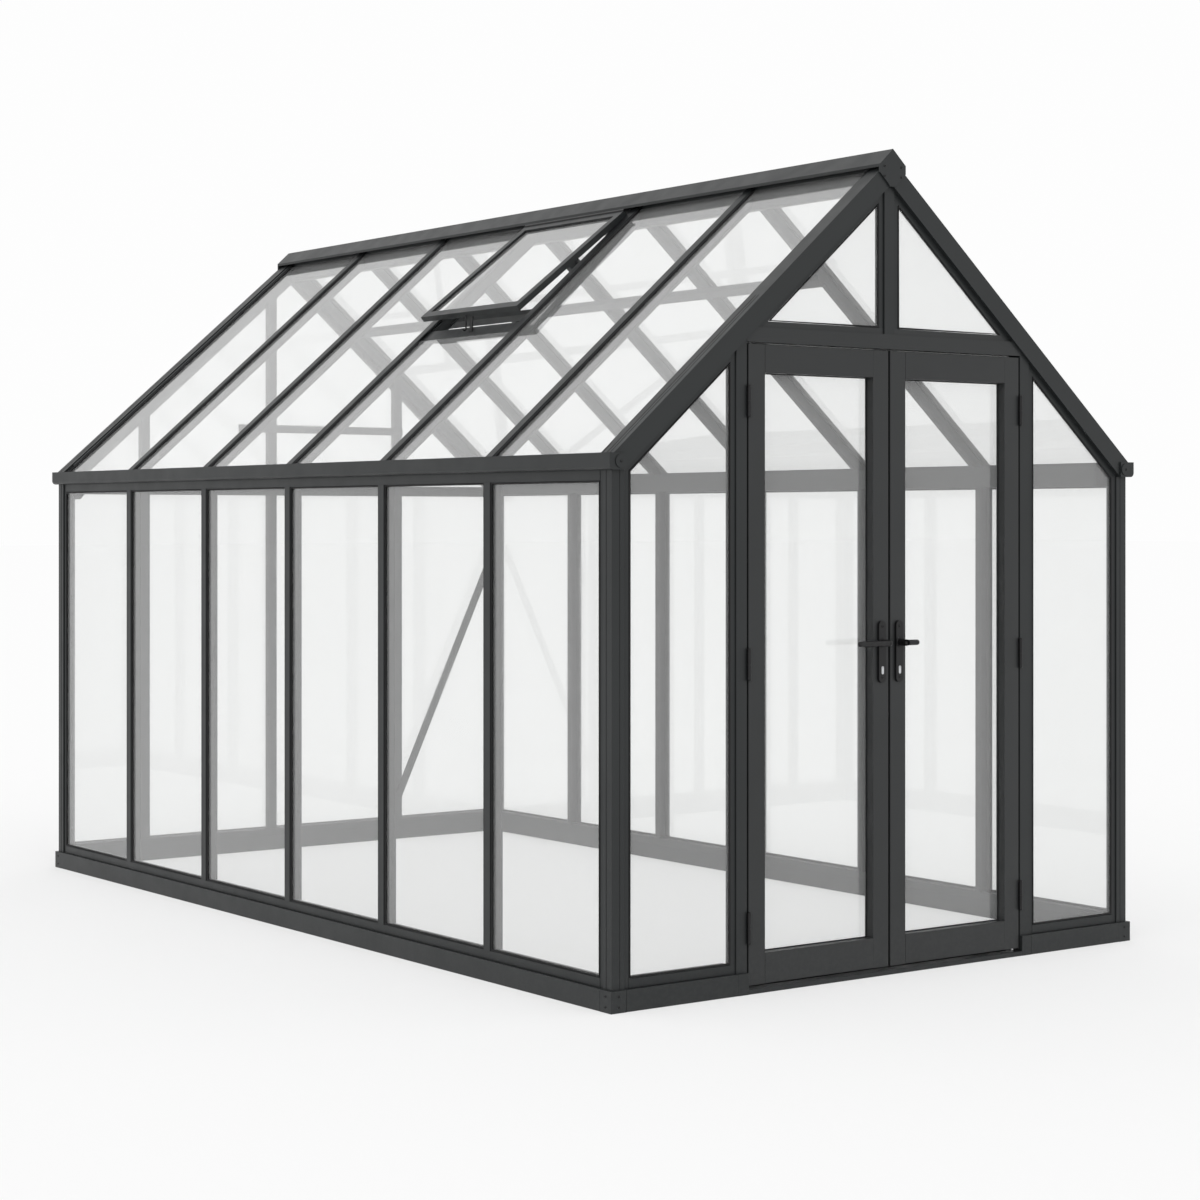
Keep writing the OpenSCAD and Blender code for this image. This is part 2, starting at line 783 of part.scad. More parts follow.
// Hinge halves on the posts: knuckle with its pin, and a plate on the post's side
module post_hinges() {
    plate_y = hinge_plate_deep;
    color(black) both_sides() for (z = hinge_places)
        translate([hinge_x, hinge_y, z - hinge_height / 2]) {
            cylinder(r = knuckle_radius, h = half_hinge, $fn = 48);
            cylinder(r = pin_radius, h = hinge_height - 4, $fn = 48);
            translate([leaf_gap / 2 - hinge_plate, 0, 0]) cube([hinge_plate, plate_y, half_hinge]);
        }
}

// Hinge halves on a leaf, bored for the pin
module leaf_hinges() {
    plate_y = hinge_plate_deep;
    bore = pin_radius + pin_clearance;
    for (z = hinge_places)
        translate([hinge_x, hinge_y, z - hinge_height / 2 + half_hinge + hinge_split])
            difference() {
                union() {
                    cylinder(r = knuckle_radius, h = half_hinge, $fn = 48);
                    translate([-leaf_gap / 2, 0, 0]) cube([hinge_plate, plate_y, half_hinge]);
                }
                translate([0, 0, -1]) cylinder(r = bore, h = half_hinge - 2, $fn = 48);
            }
}

// Stiles of the right leaf, slotted for the glass, bored for the spindle
module stiles() {
    x0 = leaf_seam / 2;
    x1 = door_half;
    spindle_bore = spindle_radius + pin_clearance;
    slot = [x0 + stile_face - leaf_slot, leaf_glass_front - wall_y, leaf_bottom + bottom_rail - leaf_slot];
    difference() {
        translate([0, -wall_y, 0]) upright(leaf_bottom, leaf_top) {
            plate([x0, 0], [x0 + stile_face, leaf_depth]);
            plate([x1 - stile_face, 0], [x1, leaf_depth]);
        }
        translate(slot)
            cube([leaf_width - 2 * stile_face + 2 * leaf_slot, glass,
                leaf_height - bottom_rail - top_rail + 2 * leaf_slot]);
        translate([handle_x, 0, lever_height]) rotate([90, 0, 0])
            cylinder(r = spindle_bore, h = length, $fn = 48);
    }
}

module rails() {
    x0 = leaf_seam / 2 + stile_face;
    x1 = door_half - stile_face;
    y0 = -wall_y;
    slot_y = leaf_glass_front - wall_y;
    difference() {
        along_x(x0, x1) {
            plate([y0, leaf_bottom], [y0 + leaf_depth, leaf_bottom + bottom_rail]);
            plate([y0, leaf_top - top_rail], [y0 + leaf_depth, leaf_top]);
        }
        translate([x0 - 1, slot_y, leaf_bottom + bottom_rail - leaf_slot])
            cube([x1 - x0 + 2, glass, leaf_height - bottom_rail - top_rail + 2 * leaf_slot]);
    }
}

module leaf_pane() {
    bite = leaf_slot - pane_gap;
    x0 = leaf_seam / 2 + stile_face - bite;
    x1 = door_half - stile_face + bite;
    z0 = leaf_bottom + bottom_rail - bite;
    z1 = leaf_top - top_rail + bite;
    translate([x0, leaf_glass_front - wall_y, z0]) cube([x1 - x0, glass, z1 - z0]);
}

// Long plate with round ends on the stile's face, bored for the lever's boss
module handle_plate() {
    r = plate_width / 2;
    keyhole_z = plate_top - 141;
    translate([handle_x, -wall_y, 0]) difference() {
        rotate([90, 0, 0]) linear_extrude(plate_thickness) {
            translate([0, plate_top - r]) circle(r, $fn = 64);
            translate([0, plate_top - plate_length + r]) circle(r, $fn = 64);
            translate([-r, plate_top - plate_length + r])
                square([plate_width, plate_length - plate_width]);
        }
        translate([0, 1, lever_height]) rotate([90, 0, 0])
            cylinder(r = boss_radius + pin_clearance, h = plate_thickness + 2, $fn = 64);
        translate([0, 1 - plate_thickness, keyhole_z]) rotate([90, 0, 0])
            cylinder(r = 5, h = 4, $fn = 48);
    }
}

// Lever: spindle in the stile, boss through the plate, bar away from the seam
module lever(reach) {
    r = lever_bar / 2;
    translate([handle_x, -wall_y, lever_height]) {
        rotate([90, 0, 0]) translate([0, 0, -leaf_depth + 8])
            cylinder(r = spindle_radius, h = leaf_depth, $fn = 48);
        rotate([90, 0, 0]) translate([0, 0, plate_play])
            cylinder(r = boss_radius, h = lever_stand - plate_play, $fn = 64);
        translate([0, -lever_stand, 0]) rotate([0, 90, 0]) cylinder(r = r, h = reach - r, $fn = 48);
        translate([0, -lever_stand, 0]) sphere(r = boss_radius, $fn = 48);
        translate([reach - r, -lever_stand, 0]) sphere(r = r, $fn = 48);
    }
}

module right_door_stiles() {
    color(metal) stiles();
}

module left_door_stiles() {
    color(metal) mirror([1, 0, 0]) stiles();
}

module right_door_rails() {
    color(metal) rails();
}

module left_door_rails() {
    color(metal) mirror([1, 0, 0]) rails();
}

module right_door_glass() {
    color(clear) leaf_pane();
}

module left_door_glass() {
    color(clear) mirror([1, 0, 0]) leaf_pane();
}

module right_door_hinges() {
    color(black) leaf_hinges();
}

module left_door_hinges() {
    color(black) mirror([1, 0, 0]) leaf_hinges();
}

module right_handle_plate() {
    color(black) handle_plate();
}

module left_handle_plate() {
    color(black) mirror([1, 0, 0]) handle_plate();
}

module right_lever() {
    color(black) lever(right_lever_reach);
}

module left_lever() {
    color(black) mirror([1, 0, 0]) lever(left_lever_reach);
}

plinth_rails();
plinth_corners();
threshold();
sill_rails();
corner_posts();
wall_bars();
eave_beams();
gutters();
gutter_end_caps();
front_left_rafter();
front_right_rafter();
back_left_rafter();
back_right_rafter();
roof_bars();
roof_purlin();
ridge_beam();
ridge_cap();
ridge_end_caps();
door_posts();
door_header();
gable_mullion();
back_posts();
back_rails();
back_brace();
wall_glass();
roof_glass();
front_glass();
back_glass();
vent_sill();
vent_frame();
vent_glass();
vent_stay();
post_hinges();
left_door_stiles();
left_door_rails();
left_door_glass();
left_door_hinges();
left_handle_plate();
left_lever();
right_door_stiles();
right_door_rails();
right_door_glass();
right_door_hinges();
right_handle_plate();
right_lever();
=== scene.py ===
# Glass greenhouse with double doors and one roof vent: its looks, in metres, doors facing -Y.
# Camera and studio come first, then frame metal, glass, rubber, screws and the fittings.

import math

import bmesh
import bpy
from mathutils import Matrix, Vector


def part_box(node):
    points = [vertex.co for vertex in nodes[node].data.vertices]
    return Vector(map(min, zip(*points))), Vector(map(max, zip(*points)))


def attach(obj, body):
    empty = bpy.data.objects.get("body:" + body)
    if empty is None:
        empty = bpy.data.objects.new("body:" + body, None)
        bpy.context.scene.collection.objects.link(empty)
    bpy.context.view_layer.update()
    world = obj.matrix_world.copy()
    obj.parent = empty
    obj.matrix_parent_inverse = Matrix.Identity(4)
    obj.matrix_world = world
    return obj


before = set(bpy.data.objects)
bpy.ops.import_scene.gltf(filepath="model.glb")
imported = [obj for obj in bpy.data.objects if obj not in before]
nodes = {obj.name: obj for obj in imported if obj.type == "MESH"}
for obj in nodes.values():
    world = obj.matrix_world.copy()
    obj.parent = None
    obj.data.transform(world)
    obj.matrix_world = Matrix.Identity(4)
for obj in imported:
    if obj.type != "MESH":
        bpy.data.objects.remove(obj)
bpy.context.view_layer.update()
scene = bpy.context.scene


# ---- Camera ----
# A level camera off the left front corner at chest height, with its picture shifted down a
# little so that the uprights stay upright.

CAMERA_PLACE = (-5.2112, -7.4977, 1.3696)
CAMERA_TURN = 0.6306
FOCAL_SHARE = 2.1116
SENSOR = 36.0
SHIFT_DOWN = 0.06675

camera_data = bpy.data.cameras.new("camera")
camera_data.sensor_width = SENSOR
camera_data.lens = FOCAL_SHARE * SENSOR
camera_data.shift_y = -SHIFT_DOWN
camera_data.clip_end = 200.0
camera = bpy.data.objects.new("camera", camera_data)
camera.location = CAMERA_PLACE
camera.rotation_euler = (math.pi / 2, 0.0, -CAMERA_TURN)
scene.collection.objects.link(camera)
scene.camera = camera


# ---- Studio ----
# A white studio: even white light from all round, one broad soft key light high on the left,
# and a pale matt floor, lit from below as on a light table, that fades into the background.

WORLD_STRENGTH = 0.985
KEY_STRENGTH = 0.8
KEY_SPREAD = 1.2
KEY_FROM = (-6.5, -5.5, 8.0)
FLOOR_SIZE = 240.0
FLOOR_COLOUR = (0.45, 0.45, 0.45, 1.0)
FLOOR_GLOW = 0.455

scene.view_settings.view_transform = "Standard"
world = bpy.data.worlds.new("studio")
world.use_nodes = True
world.node_tree.nodes["Background"].inputs["Color"].default_value = (1.0, 1.0, 1.0, 1.0)
world.node_tree.nodes["Background"].inputs["Strength"].default_value = WORLD_STRENGTH
scene.world = world

key_data = bpy.data.lights.new("soft_key", "SUN")
key_data.angle = KEY_SPREAD
key_data.energy = KEY_STRENGTH
key = bpy.data.objects.new("soft_key", key_data)
key.rotation_euler = (-Vector(KEY_FROM)).to_track_quat("-Z", "Y").to_euler()
scene.collection.objects.link(key)


def principled(name):
    """A new material with its node tree and its Principled shader."""
    material = bpy.data.materials.new(name)
    material.use_nodes = True
    return material, material.node_tree, material.node_tree.nodes["Principled BSDF"]


def link(tree, source, target):
    tree.links.new(source, target)


def add_object(name, mesh):
    piece = bpy.data.objects.new(name, mesh)
    scene.collection.objects.link(piece)
    return piece


def floor_piece():
    half = FLOOR_SIZE / 2
    mesh = bpy.data.meshes.new("floor")
    corners = [(-half, -half, 0), (half, -half, 0), (half, half, 0), (-half, half, 0)]
    mesh.from_pydata(corners, [], [(0, 1, 2, 3)])
    material, tree, shader = principled("studio_floor")
    coordinates = tree.nodes.new("ShaderNodeTexCoord")
    mottle = tree.nodes.new("ShaderNodeTexNoise")
    mottle.inputs["Scale"].default_value = 1.5
    spread = tree.nodes.new("ShaderNodeMapRange")
    spread.inputs["To Min"].default_value = 0.85
    spread.inputs["To Max"].default_value = 0.95
    link(tree, coordinates.outputs["Object"], mottle.inputs["Vector"])
    link(tree, mottle.outputs["Fac"], spread.inputs["Value"])
    link(tree, spread.outputs["Result"], shader.inputs["Roughness"])
    shader.inputs["Base Color"].default_value = FLOOR_COLOUR
    shader.inputs["Emission Color"].default_value = (1.0, 1.0, 1.0, 1.0)
    shader.inputs["Emission Strength"].default_value = FLOOR_GLOW
    shader.inputs["Specular IOR Level"].default_value = 0.0
    mesh.materials.append(material)
    return add_object("floor", mesh)


floor_piece()


# ---- Frame metal ----
# Extruded aluminium with a satin anthracite powder coat: a very fine orange peel, a little
# unevenness in colour and gloss, and pale dust low down. The doors and header get a lighter copy
# of the same coat: painted light, for the brighter light that falls on them.

FRAME_COLOUR = (0.014, 0.016, 0.0165, 1.0)
# Painted light: the frame's coat made lighter for the doors, standing in for the brighter light on
# them
LIT_DOOR_COLOUR = (0.020, 0.0215, 0.0220, 1.0)
COAT_SPECULAR = 0.35
FRAME_NODES = [
    "plinth_rails", "plinth_corners", "threshold", "sill_rails", "corner_posts", "wall_bars",
    "eave_beams", "gutters", "gutter_end_caps", "front_left_rafter", "front_right_rafter",
    "back_left_rafter", "back_right_rafter", "roof_bars", "roof_purlin", "ridge_beam",
    "ridge_cap", "ridge_end_caps", "door_posts", "gable_mullion", "back_posts",
    "back_rails", "back_brace", "vent_sill", "vent_frame",
]
LEAF_NODES = ["left_door_stiles", "left_door_rails", "right_door_stiles", "right_door_rails",
              "door_header"]


def coat_group():
    """The coat's surface: colour, roughness and height, from the object's own coordinates."""
    group = bpy.data.node_groups.new("powder_coat_surface", "ShaderNodeTree")
    for name, kind, value in (("Colour", "NodeSocketColor", FRAME_COLOUR),
                              ("Roughness", "NodeSocketFloat", 0.4),
                              ("Peel Scale", "NodeSocketFloat", 650.0),
                              ("Dust", "NodeSocketFloat", 0.05)):
        group.interface.new_socket(name, in_out="INPUT", socket_type=kind).default_value = value
    group.interface.new_socket("Colour", in_out="OUTPUT", socket_type="NodeSocketColor")
    group.interface.new_socket("Roughness", in_out="OUTPUT", socket_type="NodeSocketFloat")
    group.interface.new_socket("Height", in_out="OUTPUT", socket_type="NodeSocketFloat")
    add = group.nodes.new
    given, out = add("NodeGroupInput"), add("NodeGroupOutput")
    coordinates = add("ShaderNodeTexCoord")

    def noise(scale, detail):
        node = add("ShaderNodeTexNoise")
        node.inputs["Scale"].default_value = scale
        node.inputs["Detail"].default_value = detail
        link(group, coordinates.outputs["Object"], node.inputs["Vector"])
        return node

    def ranged(source, low, high, from_low=0.3, from_high=0.7):
        node = add("ShaderNodeMapRange")
        for name, value in (("From Min", from_low), ("From Max", from_high),
                            ("To Min", low), ("To Max", high)):
            node.inputs[name].default_value = value
        link(group, source, node.inputs["Value"])
        return node.outputs["Result"]

    def times(a, b, kind="MULTIPLY"):
        node = add("ShaderNodeMath")
        node.operation = kind
        for socket, value in zip(node.inputs, (a, b)):
            if isinstance(value, float):
                socket.default_value = value
            else:
                link(group, value, socket)
        return node.outputs[0]

    # Colour: slow unevenness, then dust that thins out above the ground
    tone = add("ShaderNodeHueSaturation")
    link(group, given.outputs["Colour"], tone.inputs["Color"])
    link(group, ranged(noise(3.0, 3.0).outputs["Fac"], 0.93, 1.07), tone.inputs["Value"])
    split = add("ShaderNodeSeparateXYZ")
    link(group, coordinates.outputs["Object"], split.inputs["Vector"])
    low_down = ranged(split.outputs["Z"], 1.0, 0.0, 0.0, 0.3)
    specks = ranged(noise(90.0, 6.0).outputs["Fac"], 0.0, 1.0, 0.42, 0.62)
    dust = times(times(low_down, specks), given.outputs["Dust"])
    dusty = add("ShaderNodeMix")
    dusty.data_type = "RGBA"
    dusty.inputs[7].default_value = (0.34, 0.33, 0.31, 1.0)
    link(group, dust, dusty.inputs[0])
    link(group, tone.outputs["Color"], dusty.inputs[6])
    link(group, dusty.outputs[2], out.inputs["Colour"])

    # Gloss: wiped patches, a little rougher where the dust lies
    wiped = ranged(noise(14.0, 4.0).outputs["Fac"], -0.04, 0.05)
    rough = times(times(given.outputs["Roughness"], wiped, "ADD"), dust, "ADD")
    link(group, rough, out.inputs["Roughness"])

    # Height: the orange peel of the coat
    peel = add("ShaderNodeTexNoise")
    peel.inputs["Detail"].default_value = 2.0
    link(group, coordinates.outputs["Object"], peel.inputs["Vector"])
    link(group, given.outputs["Peel Scale"], peel.inputs["Scale"])
    link(group, peel.outputs["Fac"], out.inputs["Height"])
    return group


powder_surface = coat_group()


def coated(name, colour, roughness, peel_scale, dust, bump=0.05):
    """A coated metal or rubber whose surface comes from the shared group."""
    material, tree, shader = principled(name)
    surface = tree.nodes.new("ShaderNodeGroup")
    surface.node_tree = powder_surface
    surface.inputs["Colour"].default_value = colour
    surface.inputs["Roughness"].default_value = roughness
    surface.inputs["Peel Scale"].default_value = peel_scale
    surface.inputs["Dust"].default_value = dust
    relief = tree.nodes.new("ShaderNodeBump")
    relief.inputs["Strength"].default_value = bump
    relief.inputs["Distance"].default_value = 0.0004
    link(tree, surface.outputs["Colour"], shader.inputs["Base Color"])
    link(tree, surface.outputs["Roughness"], shader.inputs["Roughness"])
    link(tree, surface.outputs["Height"], relief.inputs["Height"])
    link(tree, relief.outputs["Normal"], shader.inputs["Normal"])
    shader.inputs["Specular IOR Level"].default_value = COAT_SPECULAR
    return material


def dress(names, material):
    """Gives CAD nodes a material."""
    for name in names:
        piece = nodes[name]
        piece.data.materials.clear()
        piece.data.materials.append(material)


anthracite = coated("anthracite_coat", FRAME_COLOUR, 0.42, 650.0, 0.015)
dress(FRAME_NODES, anthracite)
lit_leaf_coat = coated("lit_leaf_coat", LIT_DOOR_COLOUR, 0.40, 650.0, 0.015)
dress(LEAF_NODES, lit_leaf_coat)


# ---- Glass ----
# Clear toughened panes, 4 mm thick, with a faint green-grey tint and a barely visible roller
# wave. Light from the lamps passes through them.

GLASS_COLOUR = (0.978, 0.983, 0.980, 1.0)
CLARITY = 0.91
GLASS_NODES = ["wall_glass", "roof_glass", "front_glass", "back_glass", "vent_glass",
               "left_door_glass", "right_door_glass"]


def glass_material():
    material, tree, shader = principled("clear_glass")
    shader.inputs["Base Color"].default_value = GLASS_COLOUR
    shader.inputs["Metallic"].default_value = 0.0
    shader.inputs["Transmission Weight"].default_value = CLARITY
    shader.inputs["IOR"].default_value = 1.5
    coordinates = tree.nodes.new("ShaderNodeTexCoord")
    film = tree.nodes.new("ShaderNodeTexNoise")
    film.inputs["Scale"].default_value = 5.0
    film.inputs["Detail"].default_value = 5.0
    smear = tree.nodes.new("ShaderNodeMapRange")
    smear.inputs["From Min"].default_value = 0.35
    smear.inputs["From Max"].default_value = 0.8
    smear.inputs["To Min"].default_value = 0.0
    smear.inputs["To Max"].default_value = 0.03
    link(tree, coordinates.outputs["Object"], film.inputs["Vector"])
    link(tree, film.outputs["Fac"], smear.inputs["Value"])
    link(tree, smear.outputs["Result"], shader.inputs["Roughness"])
    # Shadow rays go straight through, so the panes don't darken the floor
    path = tree.nodes.new("ShaderNodeLightPath")
    clear = tree.nodes.new("ShaderNodeBsdfTransparent")
    clear.inputs["Color"].default_value = GLASS_COLOUR
    mix = tree.nodes.new("ShaderNodeMixShader")
    link(tree, path.outputs["Is Shadow Ray"], mix.inputs[0])
    link(tree, shader.outputs["BSDF"], mix.inputs[1])
    link(tree, clear.outputs["BSDF"], mix.inputs[2])
    link(tree, mix.outputs["Shader"], tree.nodes["Material Output"].inputs["Surface"])
    return material


dress(GLASS_NODES, glass_material())


# ---- Glazing rubber ----
# Extruded black rubber beads that press the panes against the metal: a round bead lies on the
# outer face of each pane, close beside the caps, lips and rails that hold it.

RUBBER_COLOUR = (0.004, 0.004, 0.0045, 1.0)
BEAD = 0.004
BEAD_SIDES = 8
SHOWN = 0.003
MERGE = 0.00002
END_REACH = 0.002
BESIDE_CAP = 0.0115 + SHOWN
BESIDE_LIP = 0.016 + SHOWN
ABOVE_RAIL = 0.012 + SHOWN

rubber = coated("glazing_rubber", RUBBER_COLOUR, 0.62, 900.0, 0.03, bump=0.12)


def bead_tree():
    """Sweeps a round bead along the edges of a mesh."""
    tree = bpy.data.node_groups.new("bead_along_edges", "GeometryNodeTree")
    face = tree.interface
    face.new_socket("Geometry", in_out="INPUT", socket_type="NodeSocketGeometry")
    face.new_socket("Radius", in_out="INPUT", socket_type="NodeSocketFloat")
    face.new_socket("Sides", in_out="INPUT", socket_type="NodeSocketInt")
    face.new_socket("Material", in_out="INPUT", socket_type="NodeSocketMaterial")
    face.new_socket("Geometry", in_out="OUTPUT", socket_type="NodeSocketGeometry")
    add = tree.nodes.new
    given, out = add("NodeGroupInput"), add("NodeGroupOutput")
    lines, ring = add("GeometryNodeMeshToCurve"), add("GeometryNodeCurvePrimitiveCircle")
    sweep, real = add("GeometryNodeCurveToMesh"), add("GeometryNodeRealizeInstances")
    finish = add("GeometryNodeSetMaterial")
    sweep.inputs["Fill Caps"].default_value = True
    link(tree, given.outputs["Geometry"], lines.inputs["Mesh"])
    link(tree, given.outputs["Radius"], ring.inputs["Radius"])
    link(tree, given.outputs["Sides"], ring.inputs["Resolution"])
    link(tree, lines.outputs["Curve"], sweep.inputs["Curve"])
    link(tree, ring.outputs["Curve"], sweep.inputs["Profile Curve"])
    link(tree, sweep.outputs["Mesh"], real.inputs["Geometry"])
    link(tree, real.outputs["Geometry"], finish.inputs["Geometry"])
    link(tree, given.outputs["Material"], finish.inputs["Material"])
    link(tree, finish.outputs["Geometry"], out.inputs["Geometry"])
    return tree


def grown(name, source, tree, inputs):
    """The plain mesh that a geometry tree makes from a source mesh, as an object."""
    maker = add_object(name + "_source", source)
    modifier = maker.modifiers.new("tree", "NODES")
    modifier.node_group = tree
    for socket in tree.interface.items_tree:
        if socket.in_out == "INPUT" and socket.name in inputs:
            modifier[socket.identifier] = inputs[socket.name]
    bpy.context.view_layer.update()
    result = maker.evaluated_get(bpy.context.evaluated_depsgraph_get())
    mesh = bpy.data.meshes.new_from_object(result)
    bpy.data.objects.remove(maker)
    mesh.name = name
    return add_object(name, mesh)


beads = bead_tree()


def pane_faces(node, outward):
    """The faces of a node's panes that look outward, each as its corners in order."""
    shape = bmesh.new()
    shape.from_mesh(nodes[node].data)
    bmesh.ops.remove_doubles(shape, verts=shape.verts, dist=MERGE)
    bmesh.ops.dissolve_limit(shape, angle_limit=math.radians(0.5),
                             verts=shape.verts, edges=shape.edges)
    direction = Vector(outward).normalized()
    faces = [[v.co.copy() for v in f.verts] for f in shape.faces if f.normal.dot(direction) > 0.999]
    shape.free()
    return faces


def bead_edges(corners, outward, inset, keep, radius):
    """Runs parallel to a pane's kept edges, drawn in by inset(edge middle, edge direction)."""
    up = Vector(outward).normalized()
    count = len(corners)
    along = [(corners[(i + 1) % count] - corners[i]).normalized() for i in range(count)]
    middle = [(corners[(i + 1) % count] + corners[i]) / 2 for i in range(count)]
    inward = [up.cross(direction) for direction in along]
    depth = [inset(middle[i], along[i]) for i in range(count)]
    moved = []
    for i in range(count):
        before = inward[i - 1]
        after = inward[i]
        lean = before.dot(after)
        share = 1 - lean * lean
        step = (before * (depth[i - 1] - lean * depth[i])
                + after * (depth[i] - lean * depth[i - 1])) / share
        moved.append(corners[i] + step + up * radius)
    return [(moved[i], moved[(i + 1) % count]) for i in range(count) if keep(along[i], middle[i])]


def edges_mesh(name, lines):
    """A mesh of loose edges, with shared corners merged."""
    mesh = bpy.data.meshes.new(name)
    points = [point for line in lines for point in line]
    mesh.from_pydata(points, [(2 * i, 2 * i + 1) for i in range(len(lines))], [])
    shape = bmesh.new()
    shape.from_mesh(mesh)
    bmesh.ops.remove_doubles(shape, verts=shape.verts, dist=MERGE)
    shape.to_mesh(mesh)
    shape.free()
    return mesh


def strip(name, body, lines, radius=BEAD, material=None, sides=BEAD_SIDES):
    """A round strip along straight lines, riding on a body."""
    piece = grown(name, edges_mesh(name, lines), beads,
                  {"Radius": radius, "Sides": sides, "Material": material or rubber})
    for polygon in piece.data.polygons:
        polygon.use_smooth = True
    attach(piece, body)
    return piece


def every_edge(direction, middle):
    return True


# The walls' beads: beside the bars' caps, and further in beside the corner posts' lips
wall_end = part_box("wall_glass")[1].y


def wall_inset(middle, direction):
    if abs(direction.z) < 0.5:
        return ABOVE_RAIL
    return BESIDE_LIP if wall_end - abs(middle.y) < END_REACH else BESIDE_CAP


wall_lines = []
for side in (-1, 1):
    for corners in pane_faces("wall_glass", (side, 0, 0)):
        wall_lines += bead_edges(corners, (side, 0, 0), wall_inset, every_edge, BEAD)
strip("wall_rubber", "frame", wall_lines)


# The gables' beads. The back panes meet on the middle of each back post
def gable_inset(middle, direction):
    return ABOVE_RAIL if abs(direction.z) < 0.05 and middle.z < 0.2 else BESIDE_LIP


back_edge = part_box("back_glass")[1].x
MEETING = 0.0005


def back_inset(middle, direction):
    if abs(direction.z) > 0.95 and back_edge - abs(middle.x) > END_REACH:
        return MEETING
    return gable_inset(middle, direction)


front_lines = []
for corners in pane_faces("front_glass", (0, -1, 0)):
    front_lines += bead_edges(corners, (0, -1, 0), gable_inset, every_edge, BEAD)
strip("front_rubber", "frame", front_lines)
back_lines = []
for corners in pane_faces("back_glass", (0, 1, 0)):
    back_lines += bead_edges(corners, (0, 1, 0), back_inset, every_edge, BEAD)
strip("back_rubber", "frame", back_lines)

# The roof's beads run down the slope beside the bars only
roof_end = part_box("roof_glass")[1].y


def slope_normals():
    """The two directions that the roof's outer faces look in."""
    longest = max(nodes["roof_glass"].data.polygons, key=lambda face: face.area)
    lean = abs(longest.normal.x), abs(longest.normal.z)
    return [Vector((side * lean[0], 0, lean[1])) for side in (-1, 1)]


def roof_inset(middle, direction):
    return BESIDE_LIP if roof_end - abs(middle.y) < END_REACH else BESIDE_CAP


def down_the_slope(direction, middle):
    return abs(direction.y) < 0.1


roof_lines = []
for outward in slope_normals():
    for corners in pane_faces("roof_glass", outward):
        roof_lines += bead_edges(corners, outward, roof_inset, down_the_slope, BEAD)
strip("roof_rubber", "frame", roof_lines)


# ---- Screws ----
# Button-head socket screws of blackened steel. They hold the plinth's corner pieces, the ridge
# end plates, the gutters' end caps, the brace, the eave gussets and the handle plates.

SCREW_SIDES = 12
SCREW_HEAD = 0.0045
BLACK_COLOUR = (0.004, 0.004, 0.0045, 1.0)
black_steel = coated("black_steel", BLACK_COLOUR, 0.36, 500.0, 0.0)


def screw_head():
    """A button head of radius 1, standing 0.5 high on its underside, with a hexagon socket."""
    def socket_radius(i):
        return 0.48 if i % 2 == 0 else 0.48 * math.cos(math.pi / 6)

    rings = [lambda i: (1.0, 0.0), lambda i: (1.0, 0.14), lambda i: (0.82, 0.38),
             lambda i: (0.60, 0.5), lambda i: (socket_radius(i), 0.5),
             lambda i: (socket_radius(i), 0.2)]
    shape = bmesh.new()
    rows = []
    for ring in rings:
        row = []
        for i in range(SCREW_SIDES):
            radius, height = ring(i)
            turn = 2 * math.pi * i / SCREW_SIDES
            row.append(shape.verts.new((radius * math.cos(turn), radius * math.sin(turn), height)))
        rows.append(row)
    for low, high in zip(rows, rows[1:]):
        for i in range(SCREW_SIDES):
            j = (i + 1) % SCREW_SIDES
            shape.faces.new((low[i], low[j], high[j], high[i]))
    shape.faces.new(rows[-1])
    shape.faces.new(rows[0][::-1])
    bmesh.ops.recalc_face_normals(shape, faces=shape.faces)
    mesh = bpy.data.meshes.new("screw_head")
    shape.to_mesh(mesh)
    shape.free()
    return mesh


